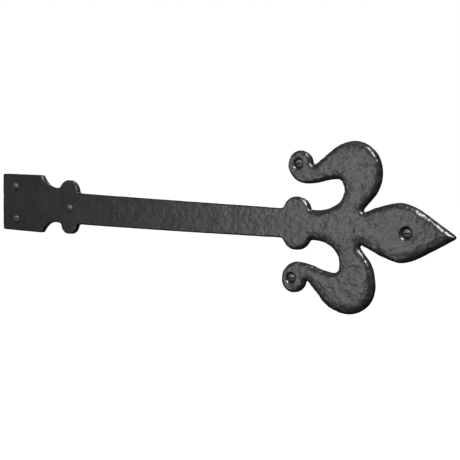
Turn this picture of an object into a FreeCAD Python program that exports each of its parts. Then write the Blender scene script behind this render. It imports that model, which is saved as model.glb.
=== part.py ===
import FreeCAD, Part
import os
from math import asin, cos, sin, sqrt
from types import SimpleNamespace as Named

# A fleur-de-lis hinge front: one hammered cast-iron strap and the six slotted round-head wood screws
# that hold it to a door. All lengths are in millimetres.
#
# X runs along the strap from its square end to the tip of the middle leaf, +Z is up, and the hammered
# front faces -Y. The flat back lies in the plane Y = 0, against the door. The origin is on that plane,
# in the middle of the square end.

THICKNESS = 5.0
EDGE_ROUND = 1.8
TIP_X = 457.2
TIP_Z = -1.4

# Inside and outside corners of the outline are rounded to these radii.
END_CORNER = 1.2
SHOULDER_CORNER = 1.3
NECK_CORNER = 3.0
COLLAR_CORNER = 2.0
NOTCH_CORNER = 1.2
CROTCH_CORNER = 1.4
TIP_CORNER = 1.7

# How far a bend reaches towards the corner that its two ends aim at: this share makes a quarter ellipse.
QUARTER = 0.5523
SHOULDER_FULLNESS = 0.68
SHOULDER_SHARE = 0.44

# The pattern was cut by hand, so the two sides differ by a few millimetres. Each side's numbers are X
# along the strap and Z outwards from the centreline.
UPPER = Named(
    side=1,
    end=Named(x=0.0, z=26.1),
    plate=Named(x=48.3, z=26.7),
    neck=Named(x=64.5, z=16.1),
    collar=Named(x=81.4, z=12.8, r=10.8),
    strap_z=12.7,
    strap_bow=Named(x=147.5, z=11.8),
    strap_end_z=11.8,
    band=Named(x=320.1, z=9.5, r=12.1),
    throat=Named(x=336.5, z=11.9),
    gap=Named(x=361.4, z=28.0),
    arm=Named(x=355.0, z=36.4),
    curl=Named(x=327.3, z=31.8),
    scroll=Named(x=321.0, z=46.9, r=10.3),
    notch=Named(x=331.3, z=44.6),
    rise=Named(x=350.4, z=59.8),
    lobe_top=Named(x=368.5, z=66.0),
    lobe_side=Named(x=392.6, z=41.0),
    flank=Named(x=387.3, z=25.2),
    crotch=Named(x=374.6, z=10.6),
    leaf=Named(x=389.5, z=16.6),
    broad=Named(x=409.5, z=21.5),
    taper=Named(x=427.8, z=15.9),
)
LOWER = Named(
    side=-1,
    end=Named(x=3.6, z=24.6),
    plate=Named(x=51.2, z=24.7),
    neck=Named(x=65.0, z=14.5),
    collar=Named(x=84.0, z=14.6, r=9.2),
    strap_z=14.6,
    strap_bow=Named(x=177.5, z=14.3),
    strap_end_z=11.4,
    band=Named(x=320.9, z=7.6, r=12.4),
    throat=Named(x=338.5, z=11.5),
    gap=Named(x=360.7, z=28.6),
    arm=Named(x=356.0, z=34.9),
    curl=Named(x=324.5, z=28.8),
    scroll=Named(x=320.6, z=42.6, r=10.5),
    notch=Named(x=330.9, z=40.8),
    rise=Named(x=347.9, z=57.6),
    lobe_top=Named(x=368.8, z=65.3),
    lobe_side=Named(x=391.7, z=44.0),
    flank=Named(x=385.6, z=23.8),
    crotch=Named(x=372.8, z=10.0),
    leaf=Named(x=392.5, z=18.0),
    broad=Named(x=411.5, z=23.1),
    taper=Named(x=428.5, z=17.5),
)

# The screws of the end plate and first collar stand proud of the front. Those of the fleur-de-lis sit in
# round recesses that taper to a short straight wall. All of them pass through clearance holes.
RECESS_DEPTH = 2.4
RECESS_FLOOR_R = 3.8
TAPER_DEPTH = 1.5
SCROLL_MOUTH_R = 4.8
LEAF_MOUTH_R = 5.4
HOLE_R = 2.1

# Round-head slotted wood screw, 3.5 mm gauge, 25 mm long under the head.
HEAD_R = 3.4
HEAD_HEIGHT = 2.3
HEAD_RIM = 0.5
SLOT_WIDTH = 0.9
SLOT_DEPTH = 1.2
SHANK_R = 1.75
NECK_R = 1.95
NECK_LENGTH = THICKNESS
SCREW_LENGTH = 25.0
PLAIN_LENGTH = 9.0
CORE_R = 1.2
POINT_LENGTH = 4.0
THREAD_PITCH = 1.6
THREAD_ROOT = 0.9
THREAD_SINK = 0.15

# Screw name: X, Z, slot angle from horizontal in degrees, and the mouth radius of its recess or 0 for none.
SCREWS = {
    "plate_screw_upper": (17.5, 14.9, -40.0, 0),
    "plate_screw_lower": (20.1, -14.2, 8.0, 0),
    "collar_screw": (84.7, -1.2, -35.0, 0),
    "scroll_screw_upper": (319.9, 46.8, 20.0, SCROLL_MOUTH_R),
    "scroll_screw_lower": (318.9, -42.0, 0.0, SCROLL_MOUTH_R),
    "leaf_screw": (416.8, -1.0, 12.0, LEAF_MOUTH_R),
}


def reach(radius, rise):
    """Half the chord that a circle of this radius has at this distance from its centre."""
    return sqrt(radius**2 - rise**2)


def along(a, b, z):
    """The X at which the straight line through a and b is z from the centreline."""
    return a.x + (b.x - a.x) * (z - a.z) / (b.z - a.z)


def beyond(a, b, x):
    """The Z that the straight line through a and b has at this X."""
    return a.z + (b.z - a.z) * (x - a.x) / (b.x - a.x)


class Path:
    """A chain of edges along one side of the casting, with the corners on it that are to be rounded."""

    def __init__(self, side, x, z):
        self.side = side
        self.start = self.place(x, z)
        self.here = self.start
        self.edges = []
        self.corners = []

    def place(self, x, z):
        return FreeCAD.Vector(x, 0, self.side * z)

    def add(self, curve, end):
        self.edges.append(curve.toShape())
        self.here = end

    def run(self, x, z):
        """Goes straight to a point."""
        end = self.place(x, z)
        self.add(Part.LineSegment(self.here, end), end)

    def bend(self, corner_x, corner_z, x, z, fullness=QUARTER):
        """Leaves towards the corner and arrives at the point from it."""
        corner = self.place(corner_x, corner_z)
        end = self.place(x, z)
        curve = Part.BezierCurve()
        leaving = self.here + (corner - self.here) * fullness
        arriving = end + (corner - end) * fullness
        curve.setPoles([self.here, leaving, arriving, end])
        self.add(curve, end)

    def bulge(self, circle, x, z):
        """Goes round the outer side of a circle to a point on it."""
        end = self.place(x, z)
        self.add(Part.Arc(self.here, self.place(circle.x, circle.z + circle.r), end), end)

    def round_here(self, radius):
        """Marks the corner that the path has reached."""
        self.corners.append((self.here, radius))


def plate_and_strap(path, s):
    """End plate, concave shoulder, neck, collar, tapered strap and the second collar."""
    path.round_here(END_CORNER)
    path.run(s.plate.x, s.plate.z)
    path.round_here(SHOULDER_CORNER)
    shoulder_x = s.plate.x + SHOULDER_SHARE * (s.neck.x - s.plate.x)
    path.bend(shoulder_x, s.neck.z, s.neck.x, s.neck.z, SHOULDER_FULLNESS)
    path.run(s.collar.x - reach(s.collar.r, s.neck.z - s.collar.z), s.neck.z)
    path.round_here(NECK_CORNER)
    path.bulge(s.collar, s.collar.x + reach(s.collar.r, s.strap_z - s.collar.z), s.strap_z)
    path.round_here(COLLAR_CORNER)
    strap_end_x = s.band.x - reach(s.band.r, s.strap_end_z - s.band.z)
    path.bend(s.strap_bow.x, s.strap_bow.z, strap_end_x, s.strap_end_z)
    path.round_here(COLLAR_CORNER)
    path.bulge(s.band, s.band.x + reach(s.band.r, s.throat.z - s.band.z), s.throat.z)
    path.round_here(COLLAR_CORNER)


def side_leaf(path, s):
    """The side leaf of the fleur-de-lis, round the gap under it, its scroll and its lobe."""
    path.run(s.throat.x, s.throat.z)
    path.bend(s.gap.x, s.throat.z, s.gap.x, s.gap.z)
    path.bend(s.gap.x, s.arm.z, s.arm.x, s.arm.z)
    middle = Named(x=(s.arm.x + s.curl.x) / 2, z=(s.arm.z + s.curl.z) / 2)
    path.bend((s.arm.x + middle.x) / 2, s.arm.z, middle.x, middle.z)
    path.bend((s.curl.x + middle.x) / 2, s.curl.z, s.curl.x, s.curl.z)
    scroll_left = s.scroll.x - s.scroll.r
    path.bend(scroll_left, s.curl.z, scroll_left, s.scroll.z)
    path.bulge(s.scroll, s.notch.x, s.notch.z)
    path.round_here(NOTCH_CORNER)
    path.run(s.rise.x, s.rise.z)
    path.bend(along(s.notch, s.rise, s.lobe_top.z), s.lobe_top.z, s.lobe_top.x, s.lobe_top.z)
    path.bend(s.lobe_side.x, s.lobe_top.z, s.lobe_side.x, s.lobe_side.z)
    path.bend(s.lobe_side.x, beyond(s.crotch, s.flank, s.lobe_side.x), s.flank.x, s.flank.z)
    path.run(s.crotch.x, s.crotch.z)
    path.round_here(CROTCH_CORNER)


def middle_leaf(path, s):
    """One side of the pointed middle leaf, to its tip on the centreline."""
    path.run(s.leaf.x, s.leaf.z)
    path.bend(along(s.crotch, s.leaf, s.broad.z), s.broad.z, s.broad.x, s.broad.z)
    tip = Named(x=TIP_X, z=s.side * TIP_Z)
    path.bend(along(tip, s.taper, s.broad.z), s.broad.z, s.taper.x, s.taper.z)
    path.run(tip.x, tip.z)


def half(s):
    """The whole outline of one side."""
    path = Path(s.side, s.end.x, s.end.z)
    plate_and_strap(path, s)
    side_leaf(path, s)
    middle_leaf(path, s)
    return path


def upright_edge(shape, corner):
    """The edge across the casting's thickness at a corner of its outline."""
    for edge in shape.Edges:
        if all(sqrt((v.X - corner.x) ** 2 + (v.Z - corner.z) ** 2) < 0.01 for v in edge.Vertexes):
            return edge
    raise ValueError(f"no upright edge at {corner}")


def blank():
    """The casting before its holes: the outline at full thickness with its corners and front edge round."""
    upper = half(UPPER)
    lower = half(LOWER)
    square_end = Part.LineSegment(upper.start, lower.start)
    edges = upper.edges + lower.edges + [square_end.toShape()]
    outline = Part.Face(Part.Wire(Part.__sortEdges__(edges)))
    body = outline.extrude(FreeCAD.Vector(0, -THICKNESS, 0))
    for corner, radius in upper.corners + lower.corners + [(upper.here, TIP_CORNER)]:
        body = body.makeFillet(radius, [upright_edge(body, corner)])
    front = [e for e in body.Edges if all(abs(v.Y + THICKNESS) < 0.001 for v in e.Vertexes)]
    return body.makeFillet(EDGE_ROUND, front)


def peg(radius, length, x, y, z):
    """A cylinder from (x, y, z) towards the back."""
    return Part.makeCylinder(radius, length, FreeCAD.Vector(x, y, z), FreeCAD.Vector(0, 1, 0))


def recess(mouth_r, x, z):
    """What is cut away round a sunk screw head."""
    mouth = FreeCAD.Vector(x, -THICKNESS, z)
    taper = Part.makeCone(mouth_r, RECESS_FLOOR_R, TAPER_DEPTH, mouth, FreeCAD.Vector(0, 1, 0))
    return taper.fuse(peg(RECESS_FLOOR_R, RECESS_DEPTH, x, -THICKNESS, z))


def strap_casting():
    casting = blank()
    for x, z, _, mouth_r in SCREWS.values():
        casting = casting.cut(peg(HOLE_R, THICKNESS, x, -THICKNESS, z))
        if mouth_r:
            casting = casting.cut(recess(mouth_r, x, z))
    return casting


def thread():
    """The helical ridge of the screw, on its core from the plain shank to the point."""
    start = PLAIN_LENGTH
    height = SCREW_LENGTH - POINT_LENGTH - start
    helix = Part.makeHelix(THREAD_PITCH, height, CORE_R)
    half_root = THREAD_ROOT / 2
    inner = CORE_R - THREAD_SINK
    corners = [
        FreeCAD.Vector(inner, 0, -half_root),
        FreeCAD.Vector(SHANK_R, 0, 0),
        FreeCAD.Vector(inner, 0, half_root),
    ]
    profile = Part.makePolygon(corners + corners[:1])
    ridge = Part.Wire(helix).makePipeShell([profile], True, True)
    ridge.rotate(FreeCAD.Vector(), FreeCAD.Vector(1, 0, 0), -90)
    ridge.translate(FreeCAD.Vector(0, start, 0))
    return ridge


def turned_screw():
    """The screw turned from a bar: head towards -Y, seat at Y = 0 and point at Y = SCREW_LENGTH."""
    dome_rise = HEAD_HEIGHT - HEAD_RIM
    dome_r = (HEAD_R**2 + dome_rise**2) / (2 * dome_rise)
    half_angle = asin(HEAD_R / dome_r) / 2
    centre_y = dome_r - HEAD_HEIGHT
    apex = FreeCAD.Vector(0, -HEAD_HEIGHT, 0)
    mid_dome = FreeCAD.Vector(dome_r * sin(half_angle), centre_y - dome_r * cos(half_angle), 0)
    rim = FreeCAD.Vector(HEAD_R, -HEAD_RIM, 0)
    profile = [
        (HEAD_R, 0),
        (NECK_R, 0),
        (NECK_R, NECK_LENGTH),
        (SHANK_R, NECK_LENGTH + NECK_R - SHANK_R),
        (SHANK_R, PLAIN_LENGTH),
        (CORE_R, PLAIN_LENGTH + SHANK_R - CORE_R),
        (CORE_R, SCREW_LENGTH - POINT_LENGTH),
        (0, SCREW_LENGTH),
    ]
    lower = Part.makePolygon([rim] + [FreeCAD.Vector(r, y, 0) for r, y in profile] + [apex])
    dome = Part.Arc(apex, mid_dome, rim).toShape()
    section = Part.Face(Part.Wire([dome] + lower.Edges))
    return section.revolve(FreeCAD.Vector(), FreeCAD.Vector(0, 1, 0), 360)


def screw(slot_angle):
    body = turned_screw().fuse(thread())
    slot = Part.makeBox(
        3 * HEAD_R, SLOT_DEPTH, SLOT_WIDTH, FreeCAD.Vector(-1.5 * HEAD_R, -HEAD_HEIGHT, -SLOT_WIDTH / 2)
    )
    body = body.cut(slot)
    body.rotate(FreeCAD.Vector(), FreeCAD.Vector(0, 1, 0), -slot_angle)
    return body


os.makedirs("parts", exist_ok=True)
strap_casting().exportStep("parts/strap_casting.step")
for name, (x, z, slot_angle, mouth_r) in SCREWS.items():
    seat_y = RECESS_DEPTH - THICKNESS if mouth_r else -THICKNESS
    placed = screw(slot_angle)
    placed.translate(FreeCAD.Vector(x, seat_y, z))
    placed.exportStep(f"parts/{name}.step")
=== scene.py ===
from math import ceil, cos, exp, hypot, pi, radians, sin, sqrt, tan

import bmesh
import bpy
import numpy as np
from mathutils import Matrix, Vector, noise
from mathutils.geometry import delaunay_2d_cdt
from mathutils.kdtree import KDTree


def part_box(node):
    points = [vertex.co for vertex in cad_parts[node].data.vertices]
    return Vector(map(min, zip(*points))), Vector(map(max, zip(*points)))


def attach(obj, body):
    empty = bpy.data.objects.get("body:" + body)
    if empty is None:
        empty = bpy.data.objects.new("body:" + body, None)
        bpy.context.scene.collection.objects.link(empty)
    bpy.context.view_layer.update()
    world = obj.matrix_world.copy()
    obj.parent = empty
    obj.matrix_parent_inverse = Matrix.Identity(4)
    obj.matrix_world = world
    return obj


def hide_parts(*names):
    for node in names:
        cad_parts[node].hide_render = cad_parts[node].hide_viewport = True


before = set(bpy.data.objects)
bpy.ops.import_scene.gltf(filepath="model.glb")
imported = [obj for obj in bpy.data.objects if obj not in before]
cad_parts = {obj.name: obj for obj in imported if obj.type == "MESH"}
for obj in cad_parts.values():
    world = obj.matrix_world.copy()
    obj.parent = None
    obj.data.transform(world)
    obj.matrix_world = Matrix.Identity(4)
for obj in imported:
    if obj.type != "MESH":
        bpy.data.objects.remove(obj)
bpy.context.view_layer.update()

# A black fleur-de-lis hinge front. Everything is in metres, in the frame of the CAD model: X runs along
# the strap to its tip, the hammered front faces -Y and the flat back lies in the plane Y = 0.

MM = 0.001
CASTING = "strap_casting"
CASTING_BODY = "casting"
SCREWS = sorted(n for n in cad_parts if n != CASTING)

LOW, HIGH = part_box(CASTING)
LENGTH = HIGH.x - LOW.x
THICKNESS = -LOW.y


# ---------------------------------------------------------------- meshes


class Skin:
    """Points and faces gathered for one closed mesh."""

    def __init__(self):
        self.points = []
        self.faces = []

    def ring(self, points):
        """Adds points and gives their numbers."""
        first = len(self.points)
        self.points += [tuple(p) for p in points]
        return list(range(first, len(self.points)))

    def bridge(self, a, b):
        """Joins two closed rings that have as many points."""
        count = len(a)
        for i in range(count):
            j = (i + 1) % count
            self.faces.append((a[i], a[j], b[j], b[i]))

    def cap(self, ring, tip):
        """Closes a ring with a fan to one point."""
        count = len(ring)
        for i in range(count):
            self.faces.append((ring[i], ring[(i + 1) % count], tip))

    def piece(self, name, sharp_angle):
        """Makes the object, with its faces outwards and its edges sharp above an angle."""
        mesh = bpy.data.meshes.new(name)
        mesh.from_pydata(self.points, [], self.faces)
        bm = bmesh.new()
        bm.from_mesh(mesh)
        bmesh.ops.recalc_face_normals(bm, faces=bm.faces)
        bm.to_mesh(mesh)
        bm.free()
        mesh.shade_smooth()
        mesh.set_sharp_from_angle(angle=radians(sharp_angle))
        piece = bpy.data.objects.new(name, mesh)
        bpy.context.scene.collection.objects.link(piece)
        return piece


def circle(x, z, radius, count):
    turns = np.arange(count) * 2 * pi / count
    return np.c_[x + radius * np.cos(turns), z + radius * np.sin(turns)]


def ramp(value, low, high):
    """0 below low, 1 above high and a smooth rise between them."""
    t = min(max((value - low) / (high - low), 0.0), 1.0)
    return t * t * (3 - 2 * t)


def noise_at(x, z, wide, high, layer):
    """Smooth noise about 0, with features about this wide and high; each layer is a different pattern."""
    return noise.noise((x / wide, z / high, layer))


def point_tree(points):
    """A search tree of (x, z) points."""
    tree = KDTree(len(points))
    for i, (x, z) in enumerate(points):
        tree.insert((x, z, 0), i)
    tree.balance()
    return tree


# ---------------------------------------------------------------- outline of the casting, from the CAD node

EDGE_STEP = 0.70 * MM
EDGE_WOBBLE = 0.16 * MM
OUTLINE_SMOOTHING = 3
FACING_SMOOTHING = 40


def perimeter(loop):
    return np.hypot(*(np.roll(loop, -1, 0) - loop).T).sum()


def respaced(loop, step):
    """The same closed loop with evenly spaced points."""
    closed = np.vstack([loop, loop[:1]])
    run = np.r_[0, np.cumsum(np.hypot(*np.diff(closed, axis=0).T))]
    count = ceil(run[-1] / step)
    at = np.arange(count) * run[-1] / count
    return np.c_[np.interp(at, run, closed[:, 0]), np.interp(at, run, closed[:, 1])]


def smoothed(loop, times):
    for _ in range(times):
        loop = 0.5 * loop + 0.25 * (np.roll(loop, 1, 0) + np.roll(loop, -1, 0))
    return loop


def inward_normals(loop):
    """Unit normals that point into the area the loop encloses."""
    along = np.roll(loop, -1, 0) - np.roll(loop, 1, 0)
    along /= np.hypot(*along.T)[:, None]
    following = np.roll(loop, -1, 0)
    area = (loop[:, 0] * following[:, 1] - following[:, 0] * loop[:, 1]).sum()
    return np.c_[-along[:, 1], along[:, 0]] * np.sign(area)


def outer_loop(node):
    """The (x, z) points round the flat back face of a CAD node, in order."""
    bm = bmesh.new()
    bm.from_mesh(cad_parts[node].data)
    bmesh.ops.remove_doubles(bm, verts=bm.verts, dist=0.001 * MM)
    at_back = {v for v in bm.verts if abs(v.co.y) < 0.01 * MM}
    neighbours = {}
    for edge in bm.edges:
        back_faces = [f for f in edge.link_faces if all(v in at_back for v in f.verts)]
        if len(back_faces) == 1 and all(v in at_back for v in edge.verts):
            for a, b in (edge.verts, reversed(edge.verts)):
                neighbours.setdefault(a, []).append(b)
    loops = []
    while neighbours:
        here = next(iter(neighbours))
        loop = []
        while here is not None:
            loop.append((here.co.x, here.co.z))
            onward = [v for v in neighbours.pop(here) if v in neighbours]
            here = onward[0] if onward else None
        loops.append(np.array(loop))
    bm.free()
    return max(loops, key=perimeter)


class Outline:
    """The casting's outline, slightly wavering as cast, with the distance from it of any point."""

    def __init__(self, loop):
        loop = smoothed(respaced(loop, EDGE_STEP), OUTLINE_SMOOTHING)
        normals = inward_normals(loop)
        waver = [noise_at(x, z, 8 * MM, 8 * MM, 21.0) for x, z in loop]
        self.loop = loop + normals * (EDGE_WOBBLE * np.array(waver))[:, None]
        self.normals = inward_normals(self.loop)
        dense = respaced(self.loop, EDGE_STEP / 5)
        self.outward = -smoothed(inward_normals(dense), FACING_SMOOTHING)
        self.tree = point_tree(dense)

    def inset(self, x, z):
        """Distance of a point from the outline."""
        return self.tree.find((x, z, 0))[2]

    def facing(self, x, z, direction):
        """1 beside an edge that faces in the (x, z) direction, 0 beside one side-on to it or turned away."""
        nearest = self.tree.find((x, z, 0))[1]
        return max(self.outward[nearest] @ direction, 0)

    def edge_width(self, x, z):
        """How far in from the outline the rounded edge reaches, farthest where it faces up."""
        widest = WIDE_EDGE * (1 + UPPER_EXTRA * self.facing(x, z, UP))
        width = NARROW_EDGE + (widest - NARROW_EDGE) * fleur_share(x)
        slow = noise_at(x, z, 6 * MM, 6 * MM, 4.0)
        quick = noise_at(x, z, 2.6 * MM, 2.6 * MM, 6.0)
        return width * (1 + 0.35 * slow + 0.3 * quick)

    def holds(self, points):
        """Which of the points are inside."""
        inside = np.zeros(len(points), bool)
        for (ax, az), (bx, bz) in zip(self.loop, np.roll(self.loop, -1, 0)):
            crosses = (az > points[:, 1]) != (bz > points[:, 1])
            if crosses.any():
                at = ax + (points[:, 1] - az) * (bx - ax) / (bz - az)
                inside ^= crosses & (points[:, 0] < at)
        return inside


# ---------------------------------------------------------------- the hammered skin

UP = np.array((0, 1))
DOWN_RIGHT = np.array((0.5, -0.87))

# The rounded edge is narrow on the strap and wide on the fleur-de-lis, most of all along the tops.
NARROW_EDGE = 1.2 * MM
WIDE_EDGE = 3.5 * MM
UPPER_EXTRA = 0.4
EDGE_DROP_SHARE = 0.72
DEEPEST_EDGE = 3.5 * MM

# Further in, the fleur-de-lis is slightly crowned, and it falls away more to the lower right and at the tip.
CROWN_REACH = 9 * MM
CROWN_DROP = 0.30 * MM
LOWER_REACH = 8 * MM
LOWER_DROP = 0.55 * MM
TIP_DROP = 0.9 * MM

# The mesh has rows of points at these slopes of the rounded edge, and an even grid on the rest of the face.
EDGE_ANGLES = (76, 62, 48, 34, 20, 8)
GRID = 0.60 * MM

# A row's point is left out where it comes nearer to the outline than this share of its due distance, and a
# grid point where it comes nearer than this share of the edge's width, or this near to a screw hole's rim.
CROSSED_ROW = 0.93
EDGE_MARGIN = 0.97
RIM_MARGIN = 0.6 * GRID

# Points nearer together than this are thinned out.
ROW_CROWDING = 0.45 * EDGE_STEP
GRID_CROWDING = 0.45 * GRID

# A bowl's depth stops growing this far from its middle, as a share of its size; the second number is about
# the mean of its square. A tool mark is this wide in the noise that it follows.
DENT_REACH = 0.9
DENT_MEAN = 0.28
MARK_WIDTH = 0.14


def fleur_share(x):
    """0 on the strap, 1 on the fleur-de-lis."""
    return ramp(x, 0.66 * LENGTH, 0.76 * LENGTH)


def hammer_strength(x):
    """The end plate is nearly smooth, the strap lightly hammered and the fleur-de-lis fully."""
    strap = 0.22 * ramp(x, 0.10 * LENGTH, 0.34 * LENGTH)
    fleur = 0.42 * ramp(x, 0.5 * LENGTH, 0.78 * LENGTH)
    return 0.18 + strap + fleur


def bowl(x, z, wide, high, layer):
    """Bowls about this wide and high, side by side, about a mean of 0."""
    depth = noise.voronoi((x / wide, z / high, layer))[0][0]
    return min(depth, DENT_REACH) ** 2 - DENT_MEAN


def hammered(x, z):
    """Height of the skin above its mean: shallow dents, slow waves and short curved tool marks."""
    warp = 1.5 * MM * noise_at(x, z, 6 * MM, 6 * MM, 9.0)
    dent = bowl(x + warp, z - warp, 6.2 * MM, 4.8 * MM, 2.0)
    pit = bowl(x - warp, z + warp, 3.1 * MM, 2.8 * MM, 7.0)
    wave = noise_at(x, z, 12 * MM, 9 * MM, 1.0)
    lump = noise_at(x, z, 3.4 * MM, 2.8 * MM, 5.0)
    course = noise_at(x, z, 4.8 * MM, 3.6 * MM, 13.0) + 0.3 * noise_at(x, z, 2 * MM, 2 * MM, 14.0)
    struck = ramp(noise_at(x, z, 6.5 * MM, 6.5 * MM, 17.0), 0.02, 0.24)
    mark = struck * exp(-((course / MARK_WIDTH) ** 2))
    height = 0.30 * dent + 0.10 * pit
    return hammer_strength(x) * MM * (height + 0.22 * wave + 0.12 * lump - 0.15 * mark)


def front_height(outline, x, z):
    """How far the front stands off the door, with its rounded edge, crown, falling tip and dents."""
    inset = outline.inset(x, z)
    width = outline.edge_width(x, z)
    lean = 1 - min(inset / width, 1.0)
    edge = min(EDGE_DROP_SHARE * width, DEEPEST_EDGE) * (1 - sqrt(1 - lean * lean))
    crown = CROWN_DROP * (1 - ramp(inset, 0, CROWN_REACH))
    crown += LOWER_DROP * outline.facing(x, z, DOWN_RIGHT) * (1 - ramp(inset, 0, LOWER_REACH))
    tip = TIP_DROP * ramp(x, 0.91 * LENGTH, LENGTH)
    dents = hammered(x, z) * (0.7 + 0.3 * ramp(inset, 0, width))
    return THICKNESS - edge - crown * fleur_share(x) - tip + dents


# ---------------------------------------------------------------- screw holes

RING_POINTS = 72
LIP = 0.2 * MM
BEVEL_SHARE = 0.8
BEVEL_TILT = 37
FLOOR_ROUND = 0.4 * MM

# A rim follows the hammered skin, and its unevenness is gone after this many steps down.
SETTLING_STEPS = 4

# A corner of the CAD mesh this near to a screw belongs to its hole. Measures closer than SAME are equal.
NEAR = 7 * MM
SAME = 0.1 * MM


class ScrewHole:
    """The clearance hole of one screw and the tapered recess in front of it, if there is one."""

    def __init__(self, screw):
        low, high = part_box(screw)
        self.x = (low.x + high.x) / 2
        self.z = (low.z + high.z) / 2
        corners = [(self.away(v.co.x, v.co.z), v.co.y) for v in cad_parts[CASTING].data.vertices]
        near = [(away, y) for away, y in corners if away < NEAR]
        self.hole = min(away for away, _ in near)
        self.seat_y = max(y for away, y in near if y < -SAME and away < self.hole + SAME)
        self.mouth = min(away for away, y in near if y < LOW.y + SAME)
        self.floor = max(away for away, y in near if abs(y - self.seat_y) < SAME)
        self.sunk = self.seat_y > LOW.y + SAME

    def away(self, x, z):
        return hypot(x - self.x, z - self.z)

    def rim(self):
        return circle(self.x, self.z, self.mouth + LIP, RING_POINTS)

    def steps(self):
        """(radius, Y) from just inside the rim, down the recess and through the hole to the back."""
        if not self.sunk:
            return [(self.mouth, LOW.y + LIP), (self.hole, 0.0)]
        bevel = self.mouth - BEVEL_SHARE * (self.mouth - self.floor)
        shoulder = LOW.y + LIP + (self.mouth - bevel) * tan(radians(BEVEL_TILT))
        return [
            (self.mouth + 0.4 * LIP, LOW.y + 0.2 * LIP),
            (self.mouth - 0.2 * LIP, LOW.y + 0.6 * LIP),
            (bevel + 0.5 * LIP, shoulder - 0.3 * LIP),
            (bevel, shoulder),
            (bevel - 0.3 * LIP, shoulder + 0.5 * LIP),
            (self.floor, shoulder + 3 * LIP),
            (self.floor, self.seat_y - FLOOR_ROUND),
            (self.floor - 0.3 * FLOOR_ROUND, self.seat_y - 0.3 * FLOOR_ROUND),
            (self.floor - FLOOR_ROUND, self.seat_y),
            (self.hole + LIP, self.seat_y),
            (self.hole, self.seat_y + LIP),
            (self.hole, 0.0),
        ]


def ring_points(outline):
    """Points on the rounded edge, in rows that follow the outline."""
    found = []
    widths = np.array([outline.edge_width(x, z) for x, z in outline.loop])
    for angle in EDGE_ANGLES:
        share = 1 - sin(radians(angle))
        row = outline.loop + outline.normals * (widths * share)[:, None]
        for x, z in respaced(row, EDGE_STEP):
            if outline.inset(x, z) > CROSSED_ROW * share * outline.edge_width(x, z):
                found.append((x, z))
    return found


def grid_points(outline, screw_holes):
    """Points of an even triangular grid on the face, clear of its rounded edge and screw holes."""
    rows = np.arange(LOW.z, HIGH.z, GRID * sqrt(3) / 2)
    columns = np.arange(LOW.x, HIGH.x, GRID)
    points = np.array([(x + GRID / 2 * (j % 2), z) for j, z in enumerate(rows) for x in columns])
    kept = []
    for x, z in points[outline.holds(points)]:
        clear = all(hole.away(x, z) > hole.mouth + LIP + RIM_MARGIN for hole in screw_holes)
        if clear and outline.inset(x, z) > EDGE_MARGIN * outline.edge_width(x, z):
            kept.append((x, z))
    return kept


def spread(points, nearest):
    """The points without those that crowd an earlier one."""
    tree = point_tree(points)
    dropped = set()
    for i, (x, z) in enumerate(points):
        if i not in dropped:
            dropped.update(j for _, j, _ in tree.find_range((x, z, 0), nearest) if j > i)
    return [p for i, p in enumerate(points) if i not in dropped]


def triangles(loops, others, screw_holes):
    """Triangles inside the first loop and outside the rest, which go round the screw holes. Gives the
    points, the triangles and, for each point handed in, its number among the points."""
    points, edges = [], []
    for loop in loops:
        first = len(points)
        points += [tuple(p) for p in loop]
        edges += [(first + i, first + (i + 1) % len(loop)) for i in range(len(loop))]
    points += others
    flat = [Vector(p) / MM for p in points]
    out, _, faces, origins, _, _ = delaunay_2d_cdt(flat, edges, [], 1, 1e-6)
    number = {}
    for i, found in enumerate(origins):
        for j in found:
            number[j] = i
    out = [(p.x * MM, p.y * MM) for p in out]
    radii = [hypot(loop[0][0] - hole.x, loop[0][1] - hole.z) for loop, hole in zip(loops[1:], screw_holes)]

    def in_screw_hole(face):
        x = sum(out[i][0] for i in face) / 3
        z = sum(out[i][1] for i in face) / 3
        return any(hole.away(x, z) < radius * 0.999 for hole, radius in zip(screw_holes, radii))

    return out, [f for f in faces if not in_screw_hole(f)], number


WALL_ROWS = 5
WALL_WAVER = 0.12 * MM
BACK_ROUND = 0.15 * MM
SHARP_CAST = 50


def back_loop(outline):
    """The outline of the flat back, inside the small rounding of its edge."""
    return outline.loop + outline.normals * BACK_ROUND


def side_wall(skin, outline, edge, heights):
    """The wall from the edge of the front to the edge of the flat back. Gives that edge."""
    above = edge
    for row in range(1, WALL_ROWS + 1):
        share = row / WALL_ROWS
        ring = []
        for i, (x, z) in enumerate(outline.loop):
            y = -(heights[edge[i]] * (1 - share) + BACK_ROUND * share)
            bulge = WALL_WAVER * noise.noise((x / (3 * MM), y / (2 * MM), z / (3 * MM))) * sin(pi * share)
            out = outline.normals[i] * -bulge
            ring.append((x + out[0], y, z + out[1]))
        below = skin.ring(ring)
        skin.bridge(above, below)
        above = below
    back_edge = skin.ring([(x, 0.0, z) for x, z in back_loop(outline)])
    skin.bridge(above, back_edge)
    return back_edge


def hole_wall(skin, hole, rim, heights):
    """The wall of a screw hole from its uneven rim, which settles over a few steps, to the back. Gives
    its edge at the back."""
    above = rim
    for k, (radius, y) in enumerate(hole.steps()):
        uneven = max(0.0, 1 - (k + 1) / SETTLING_STEPS)
        ring = circle(hole.x, hole.z, radius, RING_POINTS)
        lifts = [uneven * (heights[i] - THICKNESS) for i in rim]
        below = skin.ring([(x, y - lift, z) for (x, z), lift in zip(ring, lifts)])
        skin.bridge(above, below)
        above = below
    return above


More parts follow.
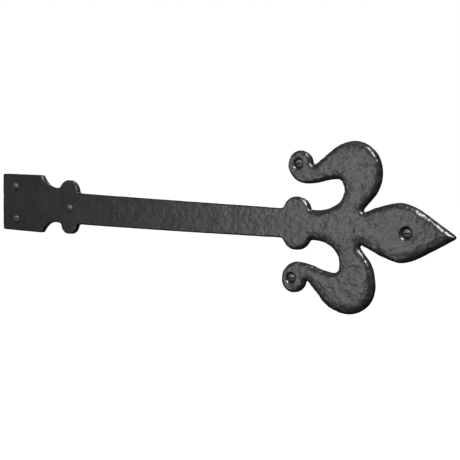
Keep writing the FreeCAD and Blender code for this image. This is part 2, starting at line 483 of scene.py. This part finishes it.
def build_casting(material):
    """The hammered casting: front skin, screw holes, side wall and flat back, as one closed mesh."""
    outline = Outline(outer_loop(CASTING))
    screw_holes = [ScrewHole(s) for s in SCREWS]
    skin = Skin()

    loops = [outline.loop] + [hole.rim() for hole in screw_holes]
    rounded = spread(ring_points(outline), ROW_CROWDING)
    others = spread(rounded + grid_points(outline, screw_holes), GRID_CROWDING)
    points, faces, number = triangles(loops, others, screw_holes)
    heights = [front_height(outline, x, z) for x, z in points]
    skin.ring([(x, -h, z) for (x, z), h in zip(points, heights)])
    skin.faces += [tuple(f) for f in faces]

    count = len(outline.loop)
    given = side_wall(skin, outline, [number[i] for i in range(count)], heights)
    for k, hole in enumerate(screw_holes):
        first = count + k * RING_POINTS
        rim = [number[first + i] for i in range(RING_POINTS)]
        given += hole_wall(skin, hole, rim, heights)

    holes = [circle(hole.x, hole.z, hole.hole, RING_POINTS) for hole in screw_holes]
    _, back_faces, back_number = triangles([back_loop(outline)] + holes, [], screw_holes)
    place = {back_number[k]: i for k, i in enumerate(given)}
    skin.faces += [tuple(place[i] for i in f) for f in back_faces]

    piece = skin.piece("hammered_casting", SHARP_CAST)
    for face in piece.data.polygons:
        face.use_smooth = face.center.y < -0.01 * MM
    piece.data.materials.append(material)
    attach(piece, CASTING_BODY)
    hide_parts(CASTING)


# ---------------------------------------------------------------- slotted round-head wood screws

SLOT_ANGLES = {
    "plate_screw_upper": -40,
    "plate_screw_lower": 8,
    "collar_screw": -35,
    "scroll_screw_upper": 20,
    "scroll_screw_lower": 0,
    "leaf_screw": 12,
}
AROUND = 72
DOME_ROWS = 16
HEAD_RIM = 0.5 * MM
NECK_R = 1.95 * MM
SHANK_R = 1.75 * MM
CORE_R = 1.2 * MM
PLAIN_LENGTH = 9 * MM
POINT_LENGTH = 4 * MM
THREAD_PITCH = 1.6 * MM
THREAD_SLOPE = 1.55
THREAD_STEP = 0.1 * MM
SLOT_WIDTH = 0.9 * MM
SLOT_DEPTH = 1.2 * MM
SLOT_REACH = 12 * MM
HEAD_EDGE = 0.12 * MM
SHARP_TURNED = 35
CLOSE = 0.02 * MM


def head_profile(head_r, head_height):
    """(radius, Y from the seat) from just beside the apex, over the dome and rim, to the neck's foot."""
    rise = head_height - HEAD_RIM
    dome_r = (head_r**2 + rise**2) / (2 * rise)
    reach = np.arcsin(head_r / dome_r) * np.arange(1, DOME_ROWS + 1) / DOME_ROWS
    dome = [(dome_r * sin(a), dome_r * (1 - cos(a)) - head_height) for a in reach]
    rim = [(head_r, -0.12 * MM), (head_r - 0.04 * MM, -0.04 * MM), (head_r - 0.12 * MM, 0.0)]
    return dome + rim


def thread_radius(down, turn, phase, length):
    """Radius of the threaded part at a distance down the screw and a turn round it."""
    core = CORE_R * min(1.0, max(length - down, 0.0) / POINT_LENGTH)
    turns = (down - PLAIN_LENGTH) / THREAD_PITCH - (phase - turn) / (2 * pi)
    off_ridge = abs(turns - round(turns)) * THREAD_PITCH
    crest = core + (SHANK_R - CORE_R) * ramp(length - down, 0.4 * MM, POINT_LENGTH)
    ridge = max(core, crest - THREAD_SLOPE * off_ridge)
    run_out = 1 - ramp(down, PLAIN_LENGTH - 0.2 * MM, PLAIN_LENGTH + 0.8 * MM)
    return ridge + (SHANK_R - ridge) * run_out


def cut_slot(piece, centre, phase, apex_y):
    """Cuts the driver slot across the head with a boolean box."""
    cutter_mesh = bpy.data.meshes.new("slot")
    bm = bmesh.new()
    bmesh.ops.create_cube(bm, size=1)
    stretch = Matrix.Diagonal((SLOT_REACH, 2 * SLOT_DEPTH, SLOT_WIDTH, 1))
    turn = Matrix.Rotation(-phase, 4, "Y")
    bm.transform(Matrix.Translation((centre.x, apex_y, centre.z)) @ turn @ stretch)
    bm.to_mesh(cutter_mesh)
    bm.free()
    cutter = bpy.data.objects.new("slot", cutter_mesh)
    bpy.context.scene.collection.objects.link(cutter)
    cut = piece.modifiers.new("slot", "BOOLEAN")
    cut.object = cutter
    cut.operation = "DIFFERENCE"
    cut.solver = "EXACT"
    shaped = bpy.data.meshes.new_from_object(piece.evaluated_get(bpy.context.evaluated_depsgraph_get()))
    piece.modifiers.clear()
    piece.data = shaped
    bpy.data.objects.remove(cutter)


def soften_head(mesh, seat_y):
    """Rounds the sharp edges of the head a little, as under a coat of paint."""
    bm = bmesh.new()
    bm.from_mesh(mesh)
    above = [e for e in bm.edges if all(v.co.y < seat_y - 0.2 * MM for v in e.verts)]
    sharp = [e for e in above if len(e.link_faces) == 2 and e.calc_face_angle() > radians(SHARP_TURNED)]
    bmesh.ops.bevel(
        bm, geom=sharp, offset=HEAD_EDGE, segments=2, profile=0.5, affect="EDGES", clamp_overlap=True
    )
    bm.to_mesh(mesh)
    bm.free()


def paint_slot_shade(mesh, centre, phase, apex_y):
    """Gives the faces inside the slot the second material, painted shade that darkens the slot's walls and
    floor as shadow would.
    """
    for face in mesh.polygons:
        x, y, z = face.center - Vector((centre.x, 0, centre.z))
        across = abs(z * cos(phase) - x * sin(phase)) - SLOT_WIDTH / 2
        down = y - apex_y - SLOT_DEPTH
        wall = across > -CLOSE and abs(face.normal.y) < 0.3
        floor = down > -CLOSE and face.normal.y < -0.9
        if across < CLOSE and down < 2.5 * CLOSE and (wall or floor):
            face.material_index = 1


def build_screw(node, seat_y, paint, slot_shade_paint):
    """One wood screw: slotted dome, neck, plain shank, helical thread and point, as one closed mesh."""
    low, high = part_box(node)
    centre = (low + high) / 2
    head_r = (high.x - low.x) / 2
    length = high.y - seat_y
    phase = radians(SLOT_ANGLES[node])
    neck = THICKNESS
    rows = head_profile(head_r, seat_y - low.y)
    rows += [(NECK_R + 0.1 * MM, 0.0), (NECK_R, 0.1 * MM), (NECK_R, neck), (SHANK_R, neck + NECK_R - SHANK_R)]
    rows += [(SHANK_R, PLAIN_LENGTH - 0.3 * MM)]

    skin = Skin()
    apex = skin.ring([(centre.x, low.y, centre.z)])[0]
    above = None
    for radius, down in rows:
        points = circle(centre.x, centre.z, radius, AROUND)
        ring = skin.ring([(x, seat_y + down, z) for x, z in points])
        if above:
            skin.bridge(above, ring)
        else:
            skin.cap(ring, apex)
        above = ring
    turns = np.arange(AROUND) * 2 * pi / AROUND
    for down in np.arange(PLAIN_LENGTH - 0.2 * MM, length - 0.05 * MM, THREAD_STEP):
        radii = [thread_radius(down, t, phase, length) for t in turns]
        points = [(centre.x + r * cos(t), centre.z + r * sin(t)) for r, t in zip(radii, turns)]
        ring = skin.ring([(x, seat_y + down, z) for x, z in points])
        skin.bridge(above, ring)
        above = ring
    point = skin.ring([(centre.x, high.y, centre.z)])[0]
    skin.cap(above, point)

    piece = skin.piece(node + "_painted", SHARP_TURNED)
    cut_slot(piece, centre, phase, low.y)
    soften_head(piece.data, seat_y)
    piece.data.shade_smooth()
    piece.data.set_sharp_from_angle(angle=radians(SHARP_TURNED))
    piece.data.materials.append(paint)
    # The second material is painted shade, which darkens the slot's walls and floor in place of its shadow.
    piece.data.materials.append(slot_shade_paint)
    paint_slot_shade(piece.data, centre, phase, low.y)
    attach(piece, node)
    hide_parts(node)


# ---------------------------------------------------------------- materials


def new_material(name):
    material = bpy.data.materials.new(name)
    material.use_nodes = True
    tree = material.node_tree
    shader = tree.nodes["Principled BSDF"]
    return material, tree, shader


def noise_node(tree, scale, detail):
    """Noise in object coordinates; scale is in features per metre."""
    coords = tree.nodes.new("ShaderNodeTexCoord")
    node = tree.nodes.new("ShaderNodeTexNoise")
    node.inputs["Scale"].default_value = scale
    node.inputs["Detail"].default_value = detail
    tree.links.new(coords.outputs["Object"], node.inputs["Vector"])
    return node


def between(tree, source, low, high, from_low=0.3, from_high=0.7):
    """Maps a noise value to a range."""
    node = tree.nodes.new("ShaderNodeMapRange")
    node.inputs["From Min"].default_value = from_low
    node.inputs["From Max"].default_value = from_high
    node.inputs["To Min"].default_value = low
    node.inputs["To Max"].default_value = high
    tree.links.new(source, node.inputs["Value"])
    return node.outputs["Result"]


def tinted(tree, source, dark, light):
    """A colour between two, from a noise value."""
    node = tree.nodes.new("ShaderNodeValToRGB")
    node.color_ramp.elements[0].position = 0.32
    node.color_ramp.elements[0].color = (*dark, 1)
    node.color_ramp.elements[1].position = 0.68
    node.color_ramp.elements[1].color = (*light, 1)
    tree.links.new(source, node.inputs["Fac"])
    return node.outputs["Color"]


def bumped(tree, source, depth, distance, under=None):
    node = tree.nodes.new("ShaderNodeBump")
    node.inputs["Strength"].default_value = depth
    node.inputs["Distance"].default_value = distance
    tree.links.new(source, node.inputs["Height"])
    if under:
        tree.links.new(under, node.inputs["Normal"])
    return node.outputs["Normal"]


def black_iron():
    """Satin black powder coat over hammered iron."""
    material, tree, shader = new_material("black_powder_coat")
    blotch = noise_node(tree, 60, 3)
    peel = noise_node(tree, 650, 3)
    sand = noise_node(tree, 2600, 2)
    colour = tinted(tree, blotch.outputs["Fac"], (0.0117, 0.0117, 0.0126), (0.0182, 0.0182, 0.0196))
    tree.links.new(colour, shader.inputs["Base Color"])
    tree.links.new(between(tree, peel.outputs["Fac"], 0.31, 0.39), shader.inputs["Roughness"])
    coarse = bumped(tree, peel.outputs["Fac"], 0.17, 0.08 * MM)
    fine = bumped(tree, sand.outputs["Fac"], 0.2, 0.03 * MM, coarse)
    tree.links.new(fine, shader.inputs["Normal"])
    return material


def black_screw():
    """Black japanned steel, a little smoother than the casting."""
    material, tree, shader = new_material("black_japanned_steel")
    mottle = noise_node(tree, 900, 3)
    fine = noise_node(tree, 4000, 2)
    colour = tinted(tree, mottle.outputs["Fac"], (0.040, 0.040, 0.042), (0.070, 0.070, 0.073))
    tree.links.new(colour, shader.inputs["Base Color"])
    tree.links.new(between(tree, mottle.outputs["Fac"], 0.50, 0.64), shader.inputs["Roughness"])
    coarse = bumped(tree, mottle.outputs["Fac"], 0.4, 0.10 * MM)
    tree.links.new(bumped(tree, fine.outputs["Fac"], 0.3, 0.03 * MM, coarse), shader.inputs["Normal"])
    return material


def make_slot_shade():
    """Dull near-black painted shade for the screw slots, in place of the shadow inside them."""
    material, tree, shader = new_material("painted_slot_shade")
    grit = noise_node(tree, 3000, 2)
    colour = tinted(tree, grit.outputs["Fac"], (0.003, 0.003, 0.003), (0.010, 0.009, 0.009))
    tree.links.new(colour, shader.inputs["Base Color"])
    tree.links.new(bumped(tree, grit.outputs["Fac"], 0.5, 0.08 * MM), shader.inputs["Normal"])
    shader.inputs["Roughness"].default_value = 0.95
    shader.inputs["Specular IOR Level"].default_value = 0.15
    return material


# ---------------------------------------------------------------- camera, floor and lights

CAMERA_YAW = 35.534
CAMERA_PITCH = 2.258
CAMERA_ROLL = 3.055
CAMERA_DISTANCE = 1.0489
CAMERA_LENS = 101.74
AIM_SHARE = 0.5606
AIM_Z = -8.9 * MM


def facing(yaw, pitch):
    """The direction of a view that comes from yaw degrees round to the right and pitch degrees up."""
    yaw, pitch = radians(yaw), radians(pitch)
    return Vector((-sin(yaw) * cos(pitch), cos(yaw) * cos(pitch), -sin(pitch)))


def looking(direction, roll=0.0):
    """The rotation of a camera or light that looks along a direction."""
    right = direction.cross(Vector((0, 0, 1))).normalized()
    up = right.cross(direction)
    turned = cos(radians(roll)) * right + sin(radians(roll)) * up
    return Matrix((turned, turned.cross(direction), -direction)).transposed().to_4x4()


def add_camera():
    data = bpy.data.cameras.new("camera")
    data.lens = CAMERA_LENS
    data.clip_end = 100
    camera = bpy.data.objects.new("camera", data)
    direction = facing(CAMERA_YAW, CAMERA_PITCH)
    aim = Vector((AIM_SHARE * LENGTH, 0, AIM_Z))
    place = Matrix.Translation(aim - CAMERA_DISTANCE * direction)
    camera.matrix_world = place @ looking(direction, CAMERA_ROLL)
    bpy.context.scene.collection.objects.link(camera)
    bpy.context.scene.camera = camera


def add_softbox(name, yaw, pitch, distance, width, height, power, aim):
    """An area light that shines on aim from yaw degrees to the right and pitch degrees up."""
    data = bpy.data.lights.new(name, "AREA")
    data.shape = "RECTANGLE"
    data.size = width
    data.size_y = height
    data.energy = power
    light = bpy.data.objects.new(name, data)
    direction = facing(yaw, pitch)
    light.matrix_world = Matrix.Translation(aim - distance * direction) @ looking(direction)
    bpy.context.scene.collection.objects.link(light)


FLOOR_REACH = 30.0
FLOOR_GAP = 0.35


def add_floor():
    """A pale floor below the object, lit evenly; it adds no light of its own to the object."""
    mesh = bpy.data.meshes.new("floor")
    level = LOW.z - FLOOR_GAP
    corners = [(x * FLOOR_REACH, y * FLOOR_REACH, level) for x, y in ((-1, -1), (1, -1), (1, 1), (-1, 1))]
    mesh.from_pydata(corners, [], [(0, 1, 2, 3)])
    floor = bpy.data.objects.new("floor", mesh)
    material, tree, shader = new_material("pale_floor")
    shader.inputs["Base Color"].default_value = (0.9, 0.9, 0.9, 1)
    shader.inputs["Roughness"].default_value = 0.9
    shader.inputs["Emission Color"].default_value = (1, 1, 1, 1)
    shader.inputs["Emission Strength"].default_value = 1.0
    mesh.materials.append(material)
    bpy.context.scene.collection.objects.link(floor)
    floor.visible_diffuse = False
    floor.visible_glossy = False


def add_world():
    """A white backdrop for the camera, and a dim grey room for reflections."""
    world = bpy.data.worlds.new("studio")
    world.use_nodes = True
    tree = world.node_tree
    tree.nodes.clear()
    room = tree.nodes.new("ShaderNodeBackground")
    room.inputs["Color"].default_value = (0.5, 0.5, 0.5, 1)
    room.inputs["Strength"].default_value = 0.12
    backdrop = tree.nodes.new("ShaderNodeBackground")
    backdrop.inputs["Color"].default_value = (1, 1, 1, 1)
    path = tree.nodes.new("ShaderNodeLightPath")
    mix = tree.nodes.new("ShaderNodeMixShader")
    output = tree.nodes.new("ShaderNodeOutputWorld")
    tree.links.new(path.outputs["Is Camera Ray"], mix.inputs["Fac"])
    tree.links.new(room.outputs["Background"], mix.inputs[1])
    tree.links.new(backdrop.outputs["Background"], mix.inputs[2])
    tree.links.new(mix.outputs["Shader"], output.inputs["Surface"])
    bpy.context.scene.world = world


add_camera()
fleur = Vector((0.83 * LENGTH, 0, 0))
add_softbox("left_softbox", -27.5, 0, 1.6, 0.30, 0.7, 5.9, fleur)
add_softbox("side_panel", -100, 5, 1.5, 0.8, 0.8, 3, fleur)
add_softbox("glint_light", 19, 49, 1.5, 0.15, 0.15, 36, fleur)
add_softbox("back_fill", -162, 14, 1.6, 1.0, 1.0, 14, Vector((0.5 * LENGTH, 0, 0)))
add_floor()
add_world()
bpy.context.scene.view_settings.view_transform = "Standard"

build_casting(black_iron())
screw_paint = black_screw()
# Painted shade for the screw slots: a near-black, dull material.
shade_for_slots = make_slot_shade()
for screw in SCREWS:
    build_screw(screw, ScrewHole(screw).seat_y, screw_paint, shade_for_slots)
